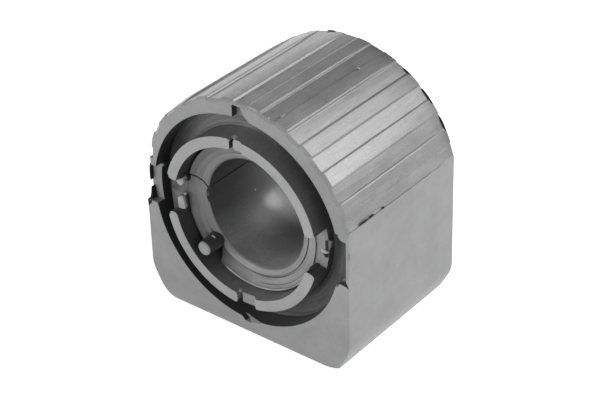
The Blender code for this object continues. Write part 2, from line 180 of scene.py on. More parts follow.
@dataclass(frozen=True)
class RubberFinish:
    """Black moulded rubber with a grey bloom on what is handled and open to the light.

    A span is where the clouds' range starts and ends, and the pair after it is what it becomes there.
    The edge's turn is the cosine between the rounded normal and the real one, from an edge to none.
    """

    name: str = "moulded_rubber"
    black: tuple[float, float, float, float] = (0.016, 0.016, 0.0165, 1.0)
    bloom: tuple[float, float, float, float] = (0.50, 0.50, 0.503, 1.0)
    cover: float = 0.71
    specular: float = 0.5
    sparkle: float = 0.12

    edge_radius: float = 0.22 * MM
    edge_samples: int = 6
    edge_turn: tuple[float, float] = (0.8, 0.99)
    edge_wear: float = 0.22

    grain_size: float = 0.28 * MM
    grain_height: float = 0.03 * MM
    grain_strength: float = 0.35
    streak_width: float = 0.55 * MM
    streak_length: float = 9.0 * MM

    cloud_size: float = 7.0 * MM
    bloom_span: tuple[float, float] = (0.2, 0.8)
    bloom_share: tuple[float, float] = (0.84, 1.12)
    rough_span: tuple[float, float] = (0.3, 0.7)
    rough_shift: tuple[float, float] = (-0.03, 0.05)


def ramp(points: Ramp, place: float) -> float:
    """Reads a value off (place, value) pairs, with straight lines between them and level ends.

    Args:
        points: the pairs, by rising place.
        place: where the value is read.

    Returns:
        The value there.
    """
    for (start, low), (end, high) in zip(points, points[1:]):
        if place < end:
            share = max(0.0, (place - start) / (end - start))
            return low + (high - low) * share
    return points[-1][1]


def new_group(name: str, inputs: dict[str, tuple[str, Feed | None]], outputs: tuple[str, ...]) -> Tree:
    """Makes a shader node group with named sockets.

    Args:
        name: the group's name.
        inputs: each input's kind and default value, by its label.
        outputs: the labels of the values that come out.

    Returns:
        The group, with its input and output nodes named "in" and "out".
    """
    group = bpy.data.node_groups.new(name, "ShaderNodeTree")
    for label, (kind, value) in inputs.items():
        socket = group.interface.new_socket(label, in_out="INPUT", socket_type=kind)
        if value is not None:
            socket.default_value = value
    for label in outputs:
        group.interface.new_socket(label, in_out="OUTPUT", socket_type="NodeSocketFloat")
    group.nodes.new("NodeGroupInput").name = "in"
    group.nodes.new("NodeGroupOutput").name = "out"
    return group


def feed(tree: Tree, value: Feed, socket: Socket) -> None:
    """Feeds an input.

    Args:
        tree: the tree that holds it.
        value: an output to link it to, or the number or colour to set.
        socket: the input.
    """
    if isinstance(value, Socket):
        tree.links.new(value, socket)
    else:
        socket.default_value = value


def add_math(tree: Tree, operation: str, *values: Feed, clamp: bool = False) -> Socket:
    """Adds a Math node.

    Args:
        tree: the tree that gets the node.
        operation: the Math node's operation.
        values: its inputs, each an output of another node or a number.
        clamp: whether the result stays between 0 and 1.

    Returns:
        The node's result.
    """
    node = tree.nodes.new("ShaderNodeMath")
    node.operation = operation
    node.use_clamp = clamp
    for value, socket in zip(values, node.inputs):
        feed(tree, value, socket)
    return node.outputs[0]


def add_noise(tree: Tree, place: Socket, scale: Feed, detail: float, roughness: float = 0.5) -> Socket:
    """Adds a noise.

    Args:
        tree: the tree that gets the node.
        place: where the noise is read.
        scale: how many of its blots lie in a unit of the place.
        detail: how many finer noises it holds.
        roughness: how strong the finer ones are.

    Returns:
        Its value, about 0.5.
    """
    node = tree.nodes.new("ShaderNodeTexNoise")
    node.inputs["Detail"].default_value = detail
    node.inputs["Roughness"].default_value = roughness
    tree.links.new(place, node.inputs["Vector"])
    feed(tree, scale, node.inputs["Scale"])
    return node.outputs["Fac"]


def add_range(tree: Tree, value: Socket, span: tuple[float, float], result: tuple[float, float]) -> Socket:
    """Adds a smooth Map Range.

    Args:
        tree: the tree that gets the node.
        value: the value that comes in.
        span: where its range starts and ends.
        result: what it becomes at the start and at the end.

    Returns:
        The node's result.
    """
    node = tree.nodes.new("ShaderNodeMapRange")
    node.interpolation_type = "SMOOTHSTEP"
    for label, number in zip(("From Min", "From Max", "To Min", "To Max"), (*span, *result)):
        node.inputs[label].default_value = number
    tree.links.new(value, node.inputs["Value"])
    return node.outputs["Result"]


def grain_group() -> Tree:
    """Makes the fine skin of moulded rubber.

    Returns:
        The group, which puts out a height for the bump and flecks as values about 0.
    """
    noise_share, pit_share, pit_reach = 0.7, 0.3, 0.6
    group = new_group(
        "rubber_grain",
        {"Place": ("NodeSocketVector", None), "Grain Scale": ("NodeSocketFloat", 3500.0)},
        ("Height", "Flecks"),
    )
    ins, outs = group.nodes["in"].outputs, group.nodes["out"].inputs
    noise = add_noise(group, ins["Place"], ins["Grain Scale"], detail=3.0, roughness=0.62)
    cells = group.nodes.new("ShaderNodeTexVoronoi")
    group.links.new(ins["Place"], cells.inputs["Vector"])
    group.links.new(ins["Grain Scale"], cells.inputs["Scale"])
    pits = add_range(group, cells.outputs["Distance"], (0.0, pit_reach), (0.0, 1.0))
    pits = add_math(group, "MULTIPLY", pits, pit_share)
    feed(group, add_math(group, "MULTIPLY_ADD", noise, noise_share, pits), outs["Height"])
    feed(group, add_math(group, "SUBTRACT", noise, 0.5), outs["Flecks"])
    return group


def clouding_group() -> Tree:
    """Makes uneven bloom in broad clouds.

    Returns:
        The group, which puts out the clouds as a value about 0.5.
    """
    group = new_group(
        "uneven_bloom",
        {"Place": ("NodeSocketVector", None), "Cloud Scale": ("NodeSocketFloat", 140.0)},
        ("Cloud",),
    )
    ins = group.nodes["in"].outputs
    cloud = add_noise(group, ins["Place"], ins["Cloud Scale"], detail=5.0, roughness=0.6)
    feed(group, cloud, group.nodes["out"].inputs["Cloud"])
    return group


def streak_group(sizes: Sizes) -> Tree:
    """Makes fine streaks that run round the bore, and others that run along it.

    Args:
        sizes: the bushing's sizes, for the height of the bore.

    Returns:
        The group, which puts out both kinds of streaks as values about 0.
    """
    group = new_group(
        "drawn_streaks",
        {
            "Place": ("NodeSocketVector", None),
            "Fine Scale": ("NodeSocketFloat", 2200.0),
            "Long Scale": ("NodeSocketFloat", 100.0),
        },
        ("Round", "Along"),
    )
    ins = group.nodes["in"].outputs
    fine, far = ins["Fine Scale"], ins["Long Scale"]
    place = group.nodes.new("ShaderNodeSeparateXYZ")
    group.links.new(ins["Place"], place.inputs[0])
    across, depth = place.outputs["X"], place.outputs["Y"]
    rise = add_math(group, "SUBTRACT", place.outputs["Z"], sizes.bore_height)
    squares = [add_math(group, "MULTIPLY", length, length) for length in (across, rise)]
    radius = add_math(group, "SQRT", add_math(group, "ADD", *squares))
    arc = add_math(group, "MULTIPLY", add_math(group, "ARCTAN2", across, rise), sizes.rib_radius)
    patterns = {
        "Round": ((radius, fine), (across, far), (rise, far)),
        "Along": ((arc, fine), (depth, far), (depth, far)),
    }
    for label, axes in patterns.items():
        stretched = group.nodes.new("ShaderNodeCombineXYZ")
        for socket, (value, scale) in zip(stretched.inputs, axes):
            feed(group, add_math(group, "MULTIPLY", value, scale), socket)
        noise = add_noise(group, stretched.outputs[0], 1.0, detail=2.0)
        feed(group, add_math(group, "SUBTRACT", noise, 0.5), group.nodes["out"].inputs[label])
    return group


class RubberMaterial:
    """Builds the material of the moulding from its finish."""

    # A Mix node's sockets for colours share their labels with others, so they go by number
    BLACK_SOCKET, BLOOM_SOCKET, COLOUR_RESULT = 6, 7, 2

    def __init__(self, finish: RubberFinish, groups: tuple[Tree, Tree, Tree]) -> None:
        """Keeps the finish and the shared node groups."""
        self.finish = finish
        self.grain, self.clouding, self.streaks = groups

    def add_group(self, tree: Tree, group: Tree, sizes: dict[str, float]) -> bpy.types.Node:
        """Places a shared group that reads the piece's own coordinates.

        Args:
            tree: the material's tree.
            group: the shared group.
            sizes: the size of a blot for each of the group's scales, in metres.

        Returns:
            The group's node.
        """
        node = tree.nodes.new("ShaderNodeGroup")
        node.node_tree = group
        for label, size in sizes.items():
            node.inputs[label].default_value = 1.0 / size
        feed(tree, tree.nodes.new("ShaderNodeTexCoord").outputs["Object"], node.inputs["Place"])
        return node

    def read(self, tree: Tree, layer: Layer) -> Socket:
        """Reads one of the mesh's layers.

        Args:
            tree: the material's tree.
            layer: the layer.

        Returns:
            Its value.
        """
        node = tree.nodes.new("ShaderNodeAttribute")
        node.attribute_name = layer.value
        return node.outputs["Fac"]

    def find_edges(self, tree: Tree, rounded: Socket) -> Socket:
        """Finds the edges of the shape, where its rounded normal turns off its real one.

        Args:
            tree: the material's tree.
            rounded: the normal with its edges rounded.

        Returns:
            1 on an edge and 0 away from it.
        """
        turn = tree.nodes.new("ShaderNodeVectorMath")
        turn.operation = "DOT_PRODUCT"
        feed(tree, rounded, turn.inputs[0])
        feed(tree, tree.nodes.new("ShaderNodeNewGeometry").outputs["Normal"], turn.inputs[1])
        return add_range(tree, turn.outputs["Value"], self.finish.edge_turn, (1.0, 0.0))

    def mix_colour(self, tree: Tree, cloud: Socket, fleck: Socket, edge: Socket) -> Socket:
        """Lays the bloom, with the light and shade painted into it, over the black.

        Args:
            tree: the material's tree.
            cloud: the broad clouds.
            fleck: the flecks and streaks, as a value about 0.
            edge: 1 on the shape's edges, where bloom gathers.

        Returns:
            The colour.
        """
        finish = self.finish
        bloom = self.read(tree, Layer.BLOOM)
        cloudy = add_range(tree, cloud, finish.bloom_span, finish.bloom_share)
        amount = add_math(tree, "MULTIPLY", bloom, finish.cover)
        amount = add_math(tree, "MULTIPLY", amount, cloudy)
        amount = add_math(tree, "MULTIPLY", amount, add_math(tree, "ADD", fleck, 1.0))
        worn = add_math(tree, "MULTIPLY", edge, finish.edge_wear)
        worn = add_math(tree, "MULTIPLY", worn, bloom)
        colour = tree.nodes.new("ShaderNodeMix")
        colour.data_type = "RGBA"
        colour.inputs[self.BLACK_SOCKET].default_value = finish.black
        colour.inputs[self.BLOOM_SOCKET].default_value = finish.bloom
        feed(tree, add_math(tree, "ADD", amount, worn, clamp=True), colour.inputs["Factor"])
        return colour.outputs[self.COLOUR_RESULT]

    def make(self) -> bpy.types.Material:
        """Builds the material.

        Returns:
            The material, which reads the tones from the mesh's layers.
        """
        finish = self.finish
        material = bpy.data.materials.new(finish.name)
        material.use_nodes = True
        tree = material.node_tree
        shader = tree.nodes["Principled BSDF"]
        grain = self.add_group(tree, self.grain, {"Grain Scale": finish.grain_size})
        clouds = self.add_group(tree, self.clouding, {"Cloud Scale": finish.cloud_size})
        streak_sizes = {"Fine Scale": finish.streak_width, "Long Scale": finish.streak_length}
        drawn = self.add_group(tree, self.streaks, streak_sizes)
        bevel = tree.nodes.new("ShaderNodeBevel")
        bevel.samples = finish.edge_samples
        bevel.inputs["Radius"].default_value = finish.edge_radius

        fleck = add_math(tree, "MULTIPLY", grain.outputs["Flecks"], self.read(tree, Layer.GRIT))
        for label, layer in (("Round", Layer.ROUND), ("Along", Layer.ALONG)):
            streak = add_math(tree, "MULTIPLY", drawn.outputs[label], self.read(tree, layer))
            fleck = add_math(tree, "ADD", fleck, streak)
        edge = self.find_edges(tree, bevel.outputs["Normal"])
        colour = self.mix_colour(tree, clouds.outputs["Cloud"], fleck, edge)
        feed(tree, colour, shader.inputs["Base Color"])

        rough = add_range(tree, clouds.outputs["Cloud"], finish.rough_span, finish.rough_shift)
        rough = add_math(tree, "ADD", rough, self.read(tree, Layer.GLOSS))
        rough = add_math(tree, "SUBTRACT", rough, add_math(tree, "MULTIPLY", fleck, finish.sparkle))
        feed(tree, rough, shader.inputs["Roughness"])
        shader.inputs["Specular IOR Level"].default_value = finish.specular
        shader.inputs["Metallic"].default_value = 0.0

        bump = tree.nodes.new("ShaderNodeBump")
        bump.inputs["Strength"].default_value = finish.grain_strength
        bump.inputs["Distance"].default_value = finish.grain_height
        feed(tree, grain.outputs["Height"], bump.inputs["Height"])
        feed(tree, bevel.outputs["Normal"], bump.inputs["Normal"])
        feed(tree, bump.outputs["Normal"], shader.inputs["Normal"])
        return material


@dataclass(frozen=True)
class Tone:
    """How a patch of rubber looks: its bloom over black, with painted light and shade in it, its roughness,
    and what shows in its colour.

    The grain, the streaks round the bore and the streaks along it each show by their own share.
    """

    bloom: float = 1.0
    rough: float = 0.46
    grit: float = 0.2
    around: float = 0.0
    along: float = 0.0

    def values(self) -> tuple[float, ...]:
        """The numbers for a mesh's layers, in their order."""
        return self.bloom, self.rough, self.grit, self.around, self.along


# Tones of the small pieces: BLACK for flash and for black sheets of painted shade, DULL for torn skin, BRIGHT
# for light scraps and specks with some painted glints, and GLINT for painted highlights
BLACK = Tone(0.02, 0.6)
DULL = Tone(0.30, 0.5, 0.4)
BRIGHT = Tone(0.95, 0.42)
GLINT = Tone(1.25, 0.3)


def new_layers(mesh: bpy.types.Mesh) -> list[bpy.types.Attribute]:
    """Adds the layers for the tones, and fetches them last, because each new layer moves the others.

    Args:
        mesh: the mesh that gets them.

    Returns:
        The layers, in the order of Layer.
    """
    for layer in Layer:
        mesh.attributes.new(layer.value, "FLOAT", "CORNER")
    return [mesh.attributes[layer.value] for layer in Layer]


@dataclass(frozen=True)
class ZoneFinder:
    """Tells the zones of the moulding apart by where a face lies and how it is turned."""

    sizes: Sizes
    pin_rim: float

    # The least share of a face's normal along an axis, for faces that are turned that way: along the
    # bore, squarely along it, up or down, and to the right
    facing: float = 0.6
    squarely: float = 0.97
    level: float = 0.7
    steep: float = 0.5

    # Margins about a radius or an edge, and the width of the narrow notches' steep walls
    touch: float = 0.05 * MM
    recess_touch: float = 0.02 * MM
    skin: float = 0.1 * MM
    bore_wear: float = 0.35 * MM
    rim_width: float = 0.2 * MM
    rim_lift: float = 0.3 * MM
    rib_skin: float = 0.9 * MM
    side_skin: float = 0.5 * MM
    slot_width: float = 1.5 * MM

    # Depths below the end face, down to which each kind of face is found
    tip_depth: float = -0.5 * MM
    rib_end_depth: float = 0.8 * MM
    bridge_depth: float = 1.0 * MM
    wall_depth: float = 3.5 * MM
    sleeve_depth: float = 3.6 * MM
    notch_depth: float = 4.0 * MM
    recess_depth: float = 6.0 * MM
    ring_depth: float = 7.0 * MM

    # Places on the body: over the bore's axis, over the base, and to the sides
    ledge_rise: float = 6.0 * MM
    arch_rise: float = 6.3 * MM
    base_height: float = 1.0 * MM
    corner_height: float = 6.0 * MM
    corner_side: float = 15.0 * MM

    def zone_of(self, centre: Vector, normal: Vector) -> Zone:
        """Finds the zone of a face.

        Args:
            centre: the face's middle, in the row frame.
            normal: the face's normal.

        Returns:
            Its zone.
        """
        sizes = self.sizes
        radius, _, depth = sizes.polar(centre)
        ahead = abs(normal.y) > self.facing
        on_pin = centre.y < 0.0 and sizes.off_pin(centre) < sizes.pin_radius + self.touch
        if on_pin and depth < self.recess_depth:
            return Zone.PIN_TIP if depth < self.pin_rim else Zone.PIN_SIDE
        if radius < sizes.bore_radius + self.bore_wear:
            return Zone.SLEEVE_STEP if ahead else Zone.BORE
        if radius < sizes.ring_outer + self.touch and depth < self.ring_depth:
            return self.ring_zone(radius, depth, ahead)
        if radius < sizes.recess_radius + self.recess_touch and depth < self.recess_depth:
            if depth < self.touch and ahead:
                return Zone.END_FACE
            return Zone.RECESS_FLOOR if ahead and depth > self.wall_depth else Zone.RECESS_WALL
        return self.body_zone(centre, normal)

    def ring_zone(self, radius: float, depth: float, ahead: bool) -> Zone:
        """Finds the zone of a face between the bore and the ring wall's outside.

        Args:
            radius: the face's distance from the bore's axis.
            depth: its depth below the end face.
            ahead: whether it faces along the bore.

        Returns:
            Its zone.
        """
        sizes = self.sizes
        if radius < sizes.ring_inner - self.touch:
            if depth < self.bridge_depth:
                return Zone.GAP_FLOOR
            if depth > self.sleeve_depth:
                return Zone.CREVICE
            return Zone.SLEEVE_END if ahead else Zone.SLEEVE_STEP
        if ahead:
            return Zone.RING_TIP if depth < self.tip_depth else Zone.GAP_FLOOR
        return Zone.RING_OUTSIDE if radius > (sizes.ring_inner + sizes.ring_outer) / 2 else Zone.RING_INSIDE

    def body_zone(self, centre: Vector, normal: Vector) -> Zone:
        """Finds the zone of a face outside the recess.

        Args:
            centre: the face's middle, in the row frame.
            normal: the face's normal.

        Returns:
            Its zone.
        """
        sizes = self.sizes
        radius, _, depth = sizes.polar(centre)
        rise = centre.z - sizes.bore_height
        if abs(normal.y) > self.squarely and depth < self.skin:
            return Zone.END_FACE
        over_notch = rise > sizes.side_notch_top + self.rim_lift
        if radius > sizes.half_width - self.rim_width and over_notch and depth < self.rib_end_depth:
            return Zone.RIB_END if centre.y < 0.0 else Zone.BACK_RIM
        shallow = depth < self.notch_depth
        if sizes.recess_radius < radius < sizes.half_width and shallow and self.in_slot(centre, normal):
            return Zone.NOTCH_SLOT
        # The up-facing ledge in the left notch gets painted light and shade of its own
        at_left = centre.x < -sizes.recess_radius and abs(rise) < self.ledge_rise
        if normal.z > self.level and at_left and shallow:
            return Zone.NOTCH_LEDGE
        if abs(normal.y) > self.facing:
            return Zone.NOTCH_FLOOR
        if normal.z < -self.level and centre.z < self.base_height:
            return Zone.BASE
        if rise > self.arch_rise and radius > sizes.recess_radius + self.rib_skin:
            return Zone.ARCH
        at_corner = centre.z < self.corner_height and abs(centre.x) > self.corner_side
        if abs(centre.x) < sizes.half_width - self.side_skin and shallow and not at_corner:
            return Zone.NOTCH_FLOOR
        return Zone.SIDE

    def in_slot(self, centre: Vector, normal: Vector) -> bool:
        """Tells whether a face is the steep left wall of a narrow notch above or below the bore.

        Args:
            centre: the face's middle, in the row frame.
            normal: the face's normal.

        Returns:
            Whether it is.
        """
        above = centre.z > self.sizes.bore_height
        left = self.sizes.top_notch if above else self.sizes.low_notch
        return left - self.skin < centre.x < left + self.slot_width and normal.x > self.steep


@dataclass(frozen=True)
class WearAndPaintedLight:
    """Where the moulding's bloom is thick or thin, as it is handled and rubbed, and where light and shade are
    painted into it.

    In the tables, angles are degrees about the bore, and other places are millimetres.
    """

    sizes: Sizes
    zones: ZoneFinder

    # Where the bloom changes over a zone, its tone leaves it out
    TONES = {
        Zone.END_FACE: Tone(0.78, 0.46, 0.28),
        Zone.RING_TIP: Tone(0.92, 0.46, 0.25),
        Zone.SIDE: Tone(0.81, 0.42, 0.20, along=0.06),
        # Painted highlight: the chamfered rib ends are lighter and glossier than the end face
        Zone.ARCH: Tone(rough=0.30, grit=0.80, along=0.55),
        Zone.RIB_END: Tone(0.96, 0.30, 0.80),
        Zone.BACK_RIM: Tone(0.40, 0.40, 0.20),
        Zone.BASE: Tone(0.70, 0.50, 0.10),
        Zone.RECESS_WALL: Tone(rough=0.50, grit=1.20, along=0.4),
        Zone.RECESS_FLOOR: Tone(rough=0.50, grit=1.00, around=1.6),
        Zone.NOTCH_FLOOR: Tone(rough=0.50, grit=0.15),
        # Painted shade: the steep walls of the narrow notches are black
        Zone.NOTCH_SLOT: Tone(0.02, 0.60, 0.10),
        Zone.NOTCH_LEDGE: Tone(rough=0.40, grit=0.20),
        Zone.GAP_FLOOR: Tone(rough=0.50, grit=0.40, around=0.5),
        Zone.RING_INSIDE: Tone(rough=0.55, grit=0.60, along=0.6),
        Zone.RING_OUTSIDE: Tone(rough=0.50, grit=1.20, along=0.4),
        Zone.SLEEVE_END: Tone(rough=0.42, grit=0.35, around=1.0),
        Zone.SLEEVE_STEP: Tone(0.46, 0.42, 0.15),
        Zone.PIN_TIP: Tone(0.78, 0.45, 0.10),
        # Painted shade: the pin's side is dark, its tip light
        Zone.PIN_SIDE: Tone(0.10, 0.32, 0.10),
        Zone.BORE: Tone(rough=0.46, grit=1.20, along=0.3),
        # Painted shade: black in the deep crevice between the sleeve and the ring wall
        Zone.CREVICE: Tone(0.02, 0.60, 0.10),
    }

    # Bloom by angle. On the recess and the ring wall's sides it is painted light and shade: lighter where the
    # light falls and darker where they lie in shade. On the sleeve's end it is less on its left and lower
    # left.
    BY_ANGLE = {
        Zone.RECESS_FLOOR: (
            (-180.0, 0.04), (-110.0, 0.08), (-70.0, 0.32), (-35.0, 0.36), (0.0, 0.16), (45.0, 0.14),
            (75.0, 0.28), (95.0, 0.52), (115.0, 0.56), (135.0, 0.36), (155.0, 0.07), (180.0, 0.04),
        ),
        Zone.RECESS_WALL: (
            (-180.0, 0.08), (-90.0, 0.10), (-40.0, 0.22), (0.0, 0.10), (60.0, 0.12),
            (85.0, 0.50), (110.0, 0.54), (135.0, 0.22), (155.0, 0.05), (180.0, 0.06),
        ),
        Zone.RING_OUTSIDE: (
            (-180.0, 0.05), (-60.0, 0.05), (0.0, 0.12), (25.0, 0.26), (45.0, 0.44),
            (70.0, 0.62), (90.0, 0.62), (110.0, 0.36), (180.0, 0.05),
        ),
        Zone.RING_INSIDE: (
            (-180.0, 0.04), (-128.0, 0.14), (-112.0, 0.42), (-90.0, 0.56), (-55.0, 0.46), (-20.0, 0.05),
        ),
        Zone.SLEEVE_END: (
            (-180.0, 0.40), (-140.0, 0.37), (-110.0, 0.66), (-60.0, 0.74), (0.0, 0.74),
            (90.0, 0.60), (120.0, 0.50), (150.0, 0.53), (180.0, 0.40),
        ),
    }

    # The sleeve's left half: less bloom towards its outer edge, by radius, and painted shade by angle outside
    # its rim, where the pin's pocket is
    SLEEVE_BY_RADIUS = ((12.6, 1.12), (13.6, 1.0), (14.9, 0.78))
    POCKET_SHADE = (
        (-140.0, 1.0), (-139.0, 0.04), (-124.0, 0.08), (-112.0, 0.60), (-97.0, 0.92), (-85.0, 1.0),
    )
    SLEEVE_LEFT_FROM = 90.0
    POCKET_FROM = 0.2 * MM

    # Gaps in the ring wall: the bridge at the slit, with less bloom towards its outside, by radius, and the
    # others
    BRIDGE_BY_RADIUS = ((15.6, 0.42), (16.2, 0.30), (17.0, 0.12), (17.8, 0.04))
    BRIDGE_FROM = 150.0
    GAP_BLOOM = 0.66

    # Notches, from left to right: the floors are painted lighter to the right, as painted light on the right
    # notch's floor, and the left notch's ledge is painted black at its outer edge, as painted shade
    NOTCH_BY_X = ((-23.0, 0.66), (-20.0, 0.60), (8.0, 0.60), (20.0, 0.95), (23.0, 1.15))
    LEDGE_BY_X = ((-23.4, 0.03), (-22.6, 0.72))

    # The bore: painted light near the front and on its lower side, where light comes in at the front; and the
    # patches that the bar has polished: angle, distance behind the front face, reach, and how much smoother
    # the middle is
    BORE_BLOOM = 0.11
    BORE_BY_DEPTH = ((3.0, 0.88), (6.0, 0.88), (10.0, 0.44), (16.0, 0.02))
    BORE_BY_ANGLE = ((-180.0, 0.0), (-160.0, 0.1), (-125.0, 1.0), (-50.0, 1.0), (-10.0, 0.5), (60.0, 0.0))
    POLISHED = ((-139.2, 18.6, 3.0, 0.20), (-155.6, 15.6, 0.9, 0.16))

    # The arch: painted reflections of the soft boxes, as the bloom of each flat and rib from the right side
    # up, at its middle, and how much more it has at the back. The right half has painted shade near the back
    # rim, by the distance from it.
    ARCH_BY_BAND = (
        (0.74, 0.00), (0.73, -0.05), (0.70, -0.04), (0.88, -0.24), (0.77, -0.14), (0.64, -0.18),
        (0.76, -0.24), (0.57, -0.14), (0.59, -0.06), (0.70, -0.05), (0.78, 0.00), (0.86, 0.02),
        (0.72, 0.04), (0.88, 0.06), (0.97, 0.05), (0.76, 0.20), (1.08, 0.06), (1.00, 0.08),
        (0.52, -0.16), (0.70, 0.00), (0.80, 0.00),
    )
    BACK_SHADE = ((0.0, 0.68), (3.2, 1.0))

    def paint(self, piece: bpy.types.Object) -> None:
        """Writes the tones into the mesh's layers, corner by corner.

        Args:
            piece: the moulding.
        """
        mesh = piece.data
        layers = new_layers(mesh)
        for face in mesh.polygons:
            zone = self.zones.zone_of(face.center, face.normal)
            band = self.sizes.band_of(self.sizes.polar(face.center)[1])
            for corner in face.loop_indices:
                point = mesh.vertices[mesh.loops[corner].vertex_index].co
                tone = self.tone_at(zone, band, point)
                for layer, value in zip(layers, tone.values()):
                    layer.data[corner].value = value

    def tone_at(self, zone: Zone, band: int, point: Vector) -> Tone:
        """Gives the tone of a place.

        Args:
            zone: the zone of the face there.
            band: the number of its rib or flat.
            point: the place, in the row frame.

        Returns:
            The tone.
        """
        tone = self.TONES[zone]
        radius, angle, depth = self.sizes.polar(point)
        # The bore: painted light near the front and on its lower side
        if zone is Zone.BORE:
            bloom = self.BORE_BLOOM + ramp(self.BORE_BY_DEPTH, depth / MM) * ramp(self.BORE_BY_ANGLE, angle)
            return replace(tone, bloom=bloom, rough=self.bore_roughness(angle, point.y))
        # The arch: painted reflections by flat and rib, and painted shade near the back rim
        if zone is Zone.ARCH:
            bloom = self.arch_painted_light(band, point.y)
        elif zone is Zone.GAP_FLOOR:
            on_bridge = abs(angle) > self.BRIDGE_FROM
            bloom = ramp(self.BRIDGE_BY_RADIUS, radius / MM) if on_bridge else self.GAP_BLOOM
        # Painted light on the right notch's floor, and painted shade on the left ledge's outer edge
        elif zone is Zone.NOTCH_FLOOR:
            bloom = ramp(self.NOTCH_BY_X, point.x / MM)
        elif zone is Zone.NOTCH_LEDGE:
            bloom = ramp(self.LEDGE_BY_X, point.x / MM)
        elif zone in self.BY_ANGLE:
            bloom = ramp(self.BY_ANGLE[zone], angle)
        else:
            return tone
        # The sleeve's left half: less bloom towards its outer edge, and painted shade by the pin's pocket
        if zone is Zone.SLEEVE_END and point.y < 0.0 and abs(angle) > self.SLEEVE_LEFT_FROM:
            bloom *= ramp(self.SLEEVE_BY_RADIUS, radius / MM)
            if radius > self.sizes.rim_outer + self.POCKET_FROM:
                bloom *= ramp(self.POCKET_SHADE, angle)
        return replace(tone, bloom=bloom)

    def arch_painted_light(self, band: int, along: float) -> float:
        """Gives the bloom of a rib or flat, with its painted reflections and, on the right half, painted
        shade near the back rim.

        Args:
            band: its number.
            along: the place's Y in the row frame.

        Returns:
            The bloom there.
        """
        level, slope = self.ARCH_BY_BAND[band]
        bloom = level + slope * along / self.sizes.back
        if band < self.sizes.rib_count:
            bloom *= ramp(self.BACK_SHADE, (self.sizes.back - along) / MM)
        return bloom

    def bore_roughness(self, angle: float, along: float) -> float:
        """Gives the roughness of the bore, which is less where it is polished.

        Args:
            angle: degrees about the bore's axis.
            along: the place's Y in the row frame.

        Returns:
            The roughness there.
        """
        rough = self.TONES[Zone.BORE].rough
        behind = (along - self.sizes.front) / MM
        for patch_angle, patch_behind, reach, smoother in self.POLISHED:
            round_bore = math.radians(angle - patch_angle) * self.sizes.bore_radius / MM
            away = math.hypot(round_bore, behind - patch_behind) / reach
            rough -= smoother * max(0.0, 1.0 - away**2)
        return rough


